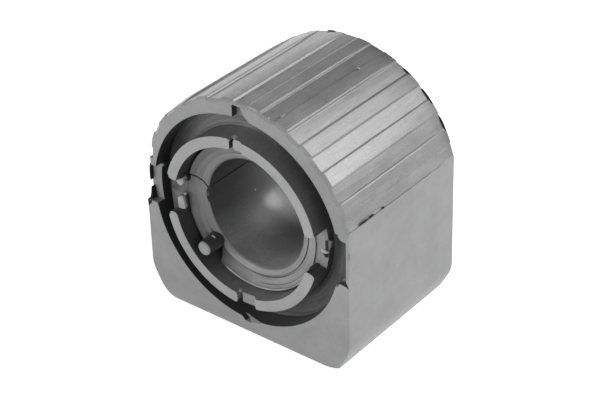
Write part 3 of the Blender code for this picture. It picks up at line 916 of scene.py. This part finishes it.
@dataclass(frozen=True)
class Moulding:
    """The whole bushing: the CAD shape with joined faces, and its fine worn forms."""

    sizes: Sizes
    name: str = "bushing_moulding"
    merge: float = 0.002 * MM
    touch: float = 0.05 * MM

    # Edges: the angle past which one is shaded sharp, the turn in radians that makes one a corner, and
    # the least share of its length along the bore that makes one upright
    sharp_deg: float = 12.0
    corner_turn: float = 0.9
    straight_share: float = 0.95

    # The pin's free end, and the ends of the ring wall's pieces
    tip_radius: float = 1.42 * MM
    tip_round: float = 0.32 * MM
    pin_stretch: float = 0.4 * MM
    end_round: float = 0.5 * MM

    # Ribs that run out: the arch's angles, how far from the back and front, and what is left at the back
    arch_span: tuple[float, float] = (10.0, 170.0)
    settle_reach: float = 7.0 * MM
    settle_share: float = 0.2
    front_reach: float = 3.6 * MM

    # How far the lips of the slit are pressed together, and how far inside the bore that starts
    slit_press: float = 0.65
    slit_from: float = 0.3 * MM

    # The sleeve's worn steps: how deep they reach, and the room that is left about the pin
    step_reach: float = 3.4 * MM
    pin_room: float = 0.1 * MM

    # The worn bridge at the slit: its angle, its depths, and how far it reaches inside the ring wall
    bridge_deg: float = 165.0
    bridge_depths: tuple[float, float] = (0.3 * MM, 2.2 * MM)
    bridge_inside: float = 0.4 * MM

    # The back end of the worn dent in the bore: its angle, its width and its depths
    dent_deg: float = 150.0
    dent_width: float = 0.6 * MM
    dent_depths: tuple[float, float] = (4.5 * MM, 5.0 * MM)

    # By angle: how much of the ribs is left at the front, and how far the sleeve's steps are worn
    WORN_FRONT = ((112.0, 1.0), (124.0, 0.15))
    WORN_SLEEVE = ((-180.0, 0.95), (-112.0, 0.90), (-74.0, 0.0), (92.0, 0.0), (125.0, 0.85), (180.0, 0.95))

    # Millimetres behind the front face where the mesh is cut across, so that its tones can change there
    SLICES = (3.7, 5.2, 6.8, 8.6, 10.6, 13.0, 14.4, 15.6, 16.8, 18.0, 19.2, 20.4, 21.8, 24.0, 27.5, 30.2)

    def pin_rim(self) -> float:
        """The depth of the foot of the round rim at the pin's tip."""
        return self.tip_round - self.sizes.pin_proud - self.pin_stretch

    def taper_pin(self, shape: Shape) -> None:
        """Narrows and lengthens the pin's free end and rounds its rim.

        Args:
            shape: the moulding's mesh.
        """
        sizes = self.sizes
        turn = math.radians(sizes.pin_angle)
        rise = sizes.bore_height + sizes.pin_ring * math.sin(turn)
        axis = Vector((sizes.pin_ring * math.cos(turn), 0.0, rise))
        foot = sizes.front - sizes.pin_proud + self.touch
        reach = sizes.pin_radius + self.touch
        tip = [vert for vert in shape.verts if vert.co.y < foot and sizes.off_pin(vert.co) < reach]
        share = self.tip_radius / sizes.pin_radius
        shrink = Matrix.Diagonal((share, 1.0, share, 1.0))
        bmesh.ops.transform(shape, matrix=shrink, space=Matrix.Translation(-axis), verts=tip)
        bmesh.ops.translate(shape, vec=(0.0, -self.pin_stretch, 0.0), verts=tip)
        found = set(tip)
        edges = [edge for edge in shape.edges if found.issuperset(edge.verts)]
        rim = [edge for edge in edges if edge.calc_face_angle(0.0) > self.corner_turn]
        bmesh.ops.bevel(
            shape, geom=rim, offset=self.tip_round, segments=4, profile=0.5, affect="EDGES", material=-1,
        )

    def edges_along(self, shape: Shape, radii: tuple[float, ...]) -> list[Edge]:
        """Finds the sharp edges that run along the bore at some distances from its axis.

        Args:
            shape: the moulding's mesh.
            radii: the distances.

        Returns:
            The edges.
        """
        found = []
        for edge in shape.edges:
            first, second = (vert.co for vert in edge.verts)
            radius, _, _ = self.sizes.polar((first + second) / 2)
            near = min(abs(radius - wanted) for wanted in radii) < self.touch
            straight = abs(first.y - second.y) > self.straight_share * (first - second).length
            if near and straight and edge.calc_face_angle(0.0) > self.corner_turn:
                found.append(edge)
        return found

    def round_ring_ends(self, shape: Shape) -> None:
        """Rounds the upright edges at the ends of the front ring wall's pieces.

        Args:
            shape: the moulding's mesh.
        """
        sizes = self.sizes
        upright = [
            edge
            for edge in self.edges_along(shape, (sizes.ring_inner, sizes.ring_outer))
            if sum(vert.co.y for vert in edge.verts) / 2 < sizes.front
        ]
        LOG.info("ring ends: %d upright edges", len(upright))
        bmesh.ops.bevel(
            shape, geom=upright, offset=self.end_round, segments=3, profile=0.5, affect="EDGES", material=-1,
        )

    def settle_ribs(self, shape: Shape) -> None:
        """Lets the ribs run out towards the back rim, and at the worn left of the front rim.

        Args:
            shape: the moulding's mesh.
        """
        sizes = self.sizes
        behind = ((0.0, self.settle_share), (self.settle_reach, 1.0))
        first, last = self.arch_span
        for vert in shape.verts:
            radius, angle, _ = sizes.polar(vert.co)
            if radius > sizes.flat_radius and first < angle < last:
                ahead = ((0.0, ramp(self.WORN_FRONT, angle)), (self.front_reach, 1.0))
                keep = ramp(behind, sizes.back - vert.co.y) * ramp(ahead, vert.co.y - sizes.front)
                sizes.draw_in(vert, (sizes.flat_radius + (radius - sizes.flat_radius) * keep) / radius)

    def press_slit(self, shape: Shape) -> None:
        """Presses the lips of the slit together inside the bore.

        Args:
            shape: the moulding's mesh.
        """
        sizes = self.sizes
        start = sizes.front + sizes.rim_depth + self.slit_from
        lips = self.edges_along(shape, (sizes.bore_radius,))
        found = list(dict.fromkeys(vert for edge in lips for vert in edge.verts if vert.co.y > start))
        LOG.info("slit: %d points on its lips", len(found))
        if found:
            middle = sum((vert.co for vert in found), Vector()) / len(found)
            for vert in found:
                vert.co.x += (middle.x - vert.co.x) * self.slit_press
                vert.co.z += (middle.z - vert.co.z) * self.slit_press

    def smooth_sleeve(self, shape: Shape) -> None:
        """Fades the front sleeve's steps out on its left side, where they are worn away.

        Args:
            shape: the moulding's mesh.
        """
        sizes = self.sizes
        inner, outer = sizes.rim_outer, sizes.sleeve_outer
        slope = (sizes.sleeve_top - sizes.rim_depth) / (outer - inner)
        for vert in shape.verts:
            radius, angle, depth = sizes.polar(vert.co)
            on_sleeve = inner + self.merge < radius < outer + self.merge and depth <= self.step_reach
            on_pin = sizes.off_pin(vert.co) < sizes.pin_radius + self.pin_room
            if vert.co.y <= 0.0 and on_sleeve and not on_pin:
                even = sizes.rim_depth + slope * (radius - inner)
                vert.co.y += (even - depth) * ramp(self.WORN_SLEEVE, angle)

    def ease_dent(self, shape: Shape) -> None:
        """Lets the worn dent in the bore's rim run out evenly to the back.

        Args:
            shape: the moulding's mesh.
        """
        sizes = self.sizes
        first, last = self.dent_depths
        for vert in shape.verts:
            radius, angle, depth = sizes.polar(vert.co)
            near = sizes.bore_radius + self.merge < radius < sizes.bore_radius + self.dent_width
            if vert.co.y < 0.0 and near and abs(angle) > self.dent_deg and first < depth < last:
                sizes.draw_in(vert, sizes.bore_radius / radius)

    def on_bridge(self, edge: Edge) -> bool:
        """Tells whether an edge lies on the worn bridge between the ring wall's pieces at the slit.

        Args:
            edge: an edge of the moulding's mesh.

        Returns:
            Whether it does.
        """
        sizes = self.sizes
        top, foot = self.bridge_depths
        for vert in edge.verts:
            radius, angle, depth = sizes.polar(vert.co)
            level = vert.co.y < 0.0 and top < depth < foot
            within = sizes.ring_inner - self.bridge_inside < radius < sizes.ring_outer + self.merge
            if not (level and within and abs(angle) > self.bridge_deg):
                return False
        return True

    def cut_across(self, shape: Shape) -> None:
        """Cuts the mesh across at each slice.

        Args:
            shape: the moulding's mesh.
        """
        for behind in self.SLICES:
            bmesh.ops.bisect_plane(
                shape,
                geom=shape.verts[:] + shape.edges[:] + shape.faces[:],
                dist=self.merge / 4,
                plane_co=(0.0, self.sizes.front + behind * MM, 0.0),
                plane_no=(0.0, 1.0, 0.0),
            )

    def build(self, node: bpy.types.Object) -> bpy.types.Object:
        """Copies the CAD shape, joins its loose triangles and finishes its fine forms.

        Args:
            node: the CAD node.

        Returns:
            The new object, shaded smooth over its round surfaces.
        """
        shape = bmesh.new()
        shape.from_mesh(node.data)
        bmesh.ops.remove_doubles(shape, verts=shape.verts[:], dist=self.merge)
        bmesh.ops.dissolve_degenerate(shape, edges=shape.edges[:], dist=self.merge / 4)
        self.round_ring_ends(shape)
        self.smooth_sleeve(shape)
        self.ease_dent(shape)
        self.taper_pin(shape)
        self.cut_across(shape)
        self.settle_ribs(shape)
        self.press_slit(shape)
        sharp = math.radians(self.sharp_deg)
        for edge in shape.edges:
            edge.smooth = edge.calc_face_angle(math.pi) < sharp or self.on_bridge(edge)
        piece = finish_piece(shape, self.name)
        old_normals = piece.data.attributes.get("custom_normal")
        if old_normals is not None:
            piece.data.attributes.remove(old_normals)
        return piece


def finish_piece(shape: Shape, name: str) -> bpy.types.Object:
    """Makes an object of a finished shape, at the origin, with its faces shaded smooth.

    Args:
        shape: the shape, which is freed.
        name: the new piece's name.

    Returns:
        The object.
    """
    for face in shape.faces:
        face.smooth = True
    mesh = bpy.data.meshes.new(name)
    shape.to_mesh(mesh)
    shape.free()
    piece = bpy.data.objects.new(name, mesh)
    bpy.context.scene.collection.objects.link(piece)
    return piece


@dataclass(frozen=True)
class Scrap:
    """A flat scrap on an end face: a scrap of rubber, or a black sheet of painted shade.

    The outline is in mm about the bore's axis. The top and the foot are its depths below the end
    face, and the foot lies inside what carries the scrap.
    """

    outline: tuple[tuple[float, float], ...]
    top: float
    foot: float
    soft_edge: float = 0.07

    def add(self, shape: Shape, sizes: Sizes) -> None:
        """Extrudes the outline from its foot to its top, with soft edges.

        Args:
            shape: the mesh that gets the scrap.
            sizes: the bushing's sizes.
        """
        ground = sizes.front + self.foot * MM
        corners = [shape.verts.new((x * MM, ground, sizes.bore_height + z * MM)) for x, z in self.outline]
        face = bmesh.ops.contextual_create(shape, geom=corners)["faces"][0]
        raised = bmesh.ops.extrude_face_region(shape, geom=[face], use_keep_orig=True)["geom"]
        top = [part for part in raised if isinstance(part, Vert)]
        bmesh.ops.translate(shape, verts=top, vec=(0.0, (self.top - self.foot) * MM, 0.0))
        found = set(top)
        rim = [part for part in raised if isinstance(part, Edge) and found.issuperset(part.verts)]
        bmesh.ops.bevel(
            shape, geom=rim, offset=self.soft_edge * MM, segments=2, profile=0.5, affect="EDGES", material=-1,
        )


@dataclass(frozen=True)
class Bit:
    """A small lump, such as a bit of flash, a speck, a painted glint or a black mark: its middle (x, depth,
    z) in mm about the bore, and its half sizes.
    """

    middle: tuple[float, float, float]
    half: tuple[float, float, float]
    turn_deg: float = 0.0

    def add(self, shape: Shape, sizes: Sizes) -> None:
        """Adds a small egg-shaped lump, turned about the bore's direction.

        Args:
            shape: the mesh that gets the bit.
            sizes: the bushing's sizes.
        """
        x, depth, z = self.middle
        place = Matrix.Translation((x * MM, sizes.front + depth * MM, sizes.bore_height + z * MM))
        turn = Matrix.Rotation(math.radians(-self.turn_deg), 4, "Y")
        stretch = Matrix.Diagonal((*(half * MM for half in self.half), 1.0))
        bmesh.ops.create_icosphere(shape, subdivisions=2, radius=1.0, matrix=place @ turn @ stretch)


@dataclass(frozen=True)
class Bead:
    """A bead along an arc: its radius in mm, its first and last angle in degrees, and its depth in mm.

    The thickness is the bead's own radius, and the centre is the arc's, in mm about the bore's axis.
    """

    radius: float
    start: float
    end: float
    depth: float
    thick: float
    centre: tuple[float, float] = (0.0, 0.0)
    sides: int = 8
    step_deg: float = 3.0
    least_steps: int = 4

    def add(self, shape: Shape, sizes: Sizes) -> None:
        """Spins a small circle about the arc's axis, and draws both ends to a point.

        Args:
            shape: the mesh that gets the bead.
            sizes: the bushing's sizes.
        """
        x, z = self.centre
        axis = Vector((x * MM, sizes.front + self.depth * MM, sizes.bore_height + z * MM))
        begin = math.radians(self.start)
        out, back = Vector((math.cos(begin), 0.0, math.sin(begin))), Vector((0.0, 1.0, 0.0))
        turn = Matrix((out, back, out.cross(back))).transposed().to_4x4()
        place = Matrix.Translation(axis + out * self.radius * MM) @ turn
        circle = bmesh.ops.create_circle(shape, segments=self.sides, radius=self.thick * MM, matrix=place)
        first = list(circle["verts"])
        found = set(first)
        edges = [edge for edge in shape.edges if found.issuperset(edge.verts)]
        swept = bmesh.ops.spin(
            shape,
            geom=first + edges,
            cent=axis,
            axis=back,
            angle=math.radians(self.start - self.end),
            steps=max(self.least_steps, round(abs(self.end - self.start) / self.step_deg)),
            use_merge=False,
        )
        last = [part for part in swept["geom_last"] if isinstance(part, Vert)]
        for loop in (first, last):
            middle = sum((vert.co for vert in loop), Vector()) / len(loop)
            bmesh.ops.pointmerge(shape, verts=loop, merge_co=middle)


@dataclass(frozen=True)
class Detail:
    """A named piece made of small forms with one tone."""

    name: str
    tone: Tone
    forms: tuple[Scrap | Bit | Bead, ...]
    sharp_deg: float = 40.0

    def build(self, sizes: Sizes, rubber: bpy.types.Material) -> bpy.types.Object:
        """Builds the forms as one mesh.

        Args:
            sizes: the bushing's sizes.
            rubber: the material that reads the tone from the mesh.

        Returns:
            The new object, which rides on the bushing.
        """
        shape = bmesh.new()
        for form in self.forms:
            form.add(shape, sizes)
        bmesh.ops.recalc_face_normals(shape, faces=shape.faces[:])
        for edge in shape.edges:
            edge.smooth = edge.calc_face_angle(math.pi) < math.radians(self.sharp_deg)
        piece = finish_piece(shape, self.name)
        for layer, value in zip(new_layers(piece.data), self.tone.values()):
            for corner in layer.data:
                corner.value = value
        piece.data.materials.append(rubber)
        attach(piece, "root")
        LOG.info("%s: %d faces", piece.name, len(piece.data.polygons))
        return piece


DETAILS = (
    # Light scraps and specks, with painted glints among them
    Detail(
        "pads_and_glints",
        BRIGHT,
        (
            Scrap(((-16.36, 2.96), (-14.5, 4.3), (-14.48, 3.12), (-15.17, 2.29), (-15.89, 2.4)), 0.1, 0.6),
            Scrap(
                ((-16.24, -0.68), (-15.7, -0.2), (-14.9, 0.0), (-14.4, -2.33), (-14.7, -2.75), (-16.1, -2.9)),
                0.1,
                0.7,
            ),
            Scrap(
                ((16.0, -0.7), (16.9, -0.6), (17.5, -0.8), (17.9, -0.9), (16.9, -1.5), (16.2, -1.3)),
                2.15,
                2.5,
            ),
            Bit((-14.9, 1.0, 3.9), (0.25, 0.3, 0.25)),
            Bit((-15.0, 1.0, 0.2), (0.35, 0.4, 0.3)),
            Bit((16.3, 2.2, -4.3), (0.5, 0.2, 0.2), -20.0),
            Bit((23.6, 0.2, 5.6), (0.3, 0.3, 0.3)),
            Bit((-20.9, 1.7, 4.2), (0.4, 0.4, 0.4)),
            # Painted glint: a bright bit at the lower corner of the left notch
            Bit((-21.75, 0.0, -3.95), (0.5, 0.1, 0.2), 12.0),
            # Painted highlight: a bright bit on the bore's far wall, at its second spot of reflected light
            Bit((-10.25, 15.6, -4.64), (0.1, 0.32, 0.22), 24.0),
            Bit((-1.2, -0.3, -15.5), (0.35, 0.5, 0.3)),
            Bit((7.9, 2.6, 23.7), (0.1, 0.75, 0.14), 20.0),
            Bit((8.05, 24.6, 23.65), (0.35, 0.3, 0.16), -19.0),
        ),
    ),
    Detail(
        "gap_skin",
        DULL,
        (Scrap(((16.9, 1.5), (17.6, 1.8), (18.5, 1.7), (18.2, 0.3), (17.6, -0.8), (16.9, -0.9)), 2.3, 2.7),),
    ),
    # Painted shade: black sheets in the gaps of the ring wall and in the right notch's lower corner, and a
    # thin black line on the right side
    Detail(
        "gap_painted_shade",
        BLACK,
        (
            Scrap(
                ((16.3, -1.6), (17.0, -1.45), (17.75, -1.1), (17.6, -2.1), (17.0, -2.25), (16.7, -1.9)),
                2.24,
                2.5,
            ),
            Scrap(((-14.9, 3.6), (-14.35, 4.2), (-14.3, 3.4), (-14.6, 2.8), (-14.95, 2.7)), 1.6, 2.05),
            Scrap(
                ((21.5, -4.75), (22.0, -4.25), (22.9, -3.75), (23.5, -4.2), (23.95, -5.3), (23.2, -4.9)),
                -0.02,
                0.1,
            ),
            Bit((23.88, 0.1, 2.4), (0.07, 0.1, 1.7), 2.0),
        ),
    ),
    # The ragged flash at the left notch, black in the shade it lies in, and a black sheet of painted shade on
    # the end face below it
    Detail(
        "notch_flash_and_shade",
        BLACK,
        (
            Scrap(
                (
                    (-23.7, 3.9), (-23.85, 3.3), (-23.7, 2.7), (-23.96, 2.1),
                    (-23.97, 0.6), (-23.8, 0.0), (-23.65, 1.5),
                ),
                1.0,
                2.0,
            ),
            Scrap(
                ((-23.5, -1.2), (-23.65, -2.4), (-23.97, -3.75), (-23.15, -3.75), (-23.25, -2.6)),
                0.7,
                2.0,
            ),
            # Painted shade: a black sheet on the end face at the notch's lower corner
            Scrap(
                (
                    (-23.97, -3.72), (-22.9, -3.72), (-22.95, -4.3),
                    (-23.3, -4.65), (-23.6, -4.85), (-23.97, -5.5),
                ),
                -0.03,
                0.1,
            ),
        ),
    ),
    # Painted highlights: bright beads along the sleeve's outer edge, on the pin's root, on the edges of the
    # top gap in the ring wall and at two rib ends on the front of the arch
    Detail(
        "painted_glints",
        GLINT,
        (
            Bead(15.0, -117.0, -58.0, 1.98, 0.17),
            Bead(1.62, 58.0, 92.0, 1.7, 0.16, (-9.5, -9.15)),
            Bead(17.6, 96.0, 84.0, -0.36, 0.13),
            Bead(17.66, 84.0, 70.0, -1.22, 0.11),
            Bead(24.62, 85.5, 80.5, 0.42, 0.16),
            Bead(24.72, 75.2, 74.0, 0.4, 0.2),
        ),
    ),
    Detail(
        "rim_bits",
        BLACK,
        (
            Bit((-4.5, 33.1, 24.15), (1.0, 0.25, 0.16), 10.0),
            Bit((12.9, 33.1, 20.8), (1.1, 0.25, 0.14), -31.0),
            Bit((17.6, 33.1, 17.1), (1.9, 0.25, 0.13), -45.0),
            Bit((21.1, 33.1, 12.5), (1.6, 0.25, 0.13), -59.0),
            Bit((23.8, 4.6, 6.75), (0.18, 1.5, 0.14), 8.0),
            Bit((23.8, 6.9, 6.8), (0.17, 0.9, 0.12)),
            Bit((23.8, 10.4, 6.75), (0.18, 0.35, 0.15)),
        ),
    ),
)


@dataclass(frozen=True)
class SoftBox:
    """A soft lamp: where it stands as seen from the bushing, its long side, sizes and radiance."""

    name: str
    direction: tuple[float, float, float]
    along: tuple[float, float, float]
    distance: float
    length: float
    width: float
    radiance: float
    mirrored: bool = True

    def add(self, aim: Vector) -> None:
        """Adds the lamp, turned to the bushing.

        Args:
            aim: the point that it lights.
        """
        data = bpy.data.lights.new(self.name, "AREA")
        data.shape = "RECTANGLE"
        data.size = self.length
        data.size_y = self.width
        data.energy = self.radiance * math.pi * self.length * self.width
        lamp = bpy.data.objects.new(self.name, data)
        lamp.visible_glossy = self.mirrored
        away = Vector(self.direction).normalized()
        across = away.cross(Vector(self.along)).normalized()
        turn = Matrix((across.cross(away), across, away)).transposed().to_4x4()
        lamp.matrix_world = Matrix.Translation(aim + away * self.distance) @ turn
        bpy.context.scene.collection.objects.link(lamp)


SOFT_BOXES = (
    SoftBox("soft_box_back", (0.46, 0.59, 0.57), (-0.812, 0.0, 0.583), 1.0, 0.76, 0.34, 9.5),
    SoftBox("soft_box_back_left", (-0.72, 0.66, 0.20), (0.66, 0.72, 0.0), 1.1, 0.70, 0.26, 1.6),
    SoftBox("soft_box_front", (-0.40, -0.85, 0.30), (1.0, 0.0, 0.0), 1.1, 0.90, 0.80, 3.5, mirrored=False),
    SoftBox("soft_box_right", (0.95, -0.15, 0.25), (0.0, 1.0, 0.0), 1.1, 0.80, 0.80, 1.1),
)


@dataclass(frozen=True)
class Studio:
    """The pale floor, the soft boxes, the room and the camera.

    The camera's distance is in half widths of the bushing. The picture is aimed so that the middle of
    the front face, at the bore, falls on aim_px.
    """

    sizes: Sizes

    azimuth: float = 38.65
    elevation: float = 32.22
    roll: float = -1.47
    focal_px: float = 1707.9
    distance: float = 13.013
    aim_px: tuple[float, float] = (243.72, 222.31)
    frame_px: tuple[float, float] = (600.0, 400.0)
    sensor: float = 36.0
    clip: tuple[float, float] = (0.01, 50.0)

    room_low: float = 1.0
    room_high: float = 0.08
    dark_above: float = 0.42

    floor_size: float = 6.0
    floor_grey: float = 0.82
    floor_rough: float = 0.9
    floor_specular: float = 0.1
    floor_glow: float = 0.75

    WHITE = (1.0, 1.0, 1.0, 1.0)

    def camera_axes(self) -> tuple[Vector, Vector, Vector]:
        """Works out how the camera is turned.

        Returns:
            Its right, up and backward directions.
        """
        azimuth, elevation, roll = (math.radians(v) for v in (self.azimuth, self.elevation, self.roll))
        reach = math.cos(elevation)
        back = Vector((math.sin(azimuth) * reach, -math.cos(azimuth) * reach, math.sin(elevation)))
        level = Vector((0.0, 0.0, 1.0)).cross(back).normalized()
        rise = back.cross(level)
        right = level * math.cos(roll) + rise * math.sin(roll)
        up = rise * math.cos(roll) - level * math.sin(roll)
        return right, up, back

    def add_camera(self) -> bpy.types.Object:
        """Adds the camera at the photograph's angle.

        Returns:
            The camera.
        """
        right, up, back = self.camera_axes()
        reach = self.distance * self.sizes.half_width
        aim = Vector((0.0, self.sizes.front, self.sizes.bore_height))
        wide, high = self.frame_px
        shift_x = (self.aim_px[0] - wide / 2) / self.focal_px * reach
        shift_y = (self.aim_px[1] - high / 2) / self.focal_px * reach
        place = aim - right * shift_x + up * shift_y + back * reach
        data = bpy.data.cameras.new("photo_camera")
        data.sensor_width = self.sensor
        data.lens = self.focal_px * self.sensor / wide
        data.clip_start, data.clip_end = self.clip
        camera = bpy.data.objects.new("photo_camera", data)
        camera.matrix_world = Matrix.Translation(place) @ Matrix((right, up, back)).transposed().to_4x4()
        bpy.context.scene.collection.objects.link(camera)
        bpy.context.scene.camera = camera
        return camera

    def add_room(self) -> None:
        """Adds a room that is bright near the floor, darker overhead, and white to the camera."""
        world = bpy.data.worlds.new("studio_room")
        bpy.context.scene.world = world
        world.use_nodes = True
        tree = world.node_tree
        background = tree.nodes["Background"]
        background.inputs["Color"].default_value = self.WHITE
        height = tree.nodes.new("ShaderNodeSeparateXYZ")
        feed(tree, tree.nodes.new("ShaderNodeTexCoord").outputs["Generated"], height.inputs[0])
        room = add_range(tree, height.outputs["Z"], (0.0, self.dark_above), (self.room_low, self.room_high))
        strength = tree.nodes.new("ShaderNodeMix")
        path = tree.nodes.new("ShaderNodeLightPath")
        for value, label in ((path.outputs["Is Camera Ray"], "Factor"), (room, "A"), (1.0, "B")):
            feed(tree, value, strength.inputs[label])
        feed(tree, strength.outputs["Result"], background.inputs["Strength"])

    def add_floor(self) -> bpy.types.Object:
        """Adds the white floor, which keeps the bushing's shadow.

        Returns:
            The floor.
        """
        shape = bmesh.new()
        bmesh.ops.create_grid(shape, x_segments=1, y_segments=1, size=self.floor_size / 2)
        floor = finish_piece(shape, "studio_floor")
        material = bpy.data.materials.new("white_paper")
        material.use_nodes = True
        tree = material.node_tree
        shader = tree.nodes["Principled BSDF"]
        path = tree.nodes.new("ShaderNodeLightPath").outputs
        seen = add_math(tree, "MAXIMUM", path["Is Camera Ray"], path["Is Glossy Ray"])
        settings = {
            "Base Color": (self.floor_grey, self.floor_grey, self.floor_grey, 1.0),
            "Roughness": self.floor_rough,
            "Specular IOR Level": self.floor_specular,
            "Emission Color": self.WHITE,
            "Emission Strength": add_math(tree, "MULTIPLY", seen, self.floor_glow),
        }
        for label, value in settings.items():
            feed(tree, value, shader.inputs[label])
        floor.data.materials.append(material)
        return floor

    def build(self) -> None:
        """Sets up the whole studio."""
        self.add_camera()
        self.add_room()
        for box in SOFT_BOXES:
            box.add(Vector((0.0, 0.0, self.sizes.bore_height)))
        self.add_floor()
        bpy.context.scene.view_settings.view_transform = "Standard"


def main() -> None:
    """Builds and dresses the bushing, then the studio."""
    logging.basicConfig(level=logging.INFO)
    sizes = Sizes()
    groups = grain_group(), clouding_group(), streak_group(sizes)
    rubber = RubberMaterial(RubberFinish(), groups).make()
    # The black pieces, flash and black sheets of painted shade, get rubber with little specular so that they
    # stay black
    flash_and_shade_black = RubberMaterial(RubberFinish(name="black_flash_and_shade", specular=0.06), groups).make()

    moulding = Moulding(sizes)
    piece = moulding.build(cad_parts["bushing"])
    WearAndPaintedLight(sizes, ZoneFinder(sizes, moulding.pin_rim())).paint(piece)
    piece.data.materials.append(rubber)
    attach(piece, "root")
    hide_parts("bushing")
    LOG.info("%s: %d faces", piece.name, len(piece.data.polygons))
    for detail in DETAILS:
        detail.build(sizes, flash_and_shade_black if detail.tone is BLACK else rubber)

    Studio(sizes).build()
    bpy.context.view_layer.update()


if __name__ == "__main__":
    main()
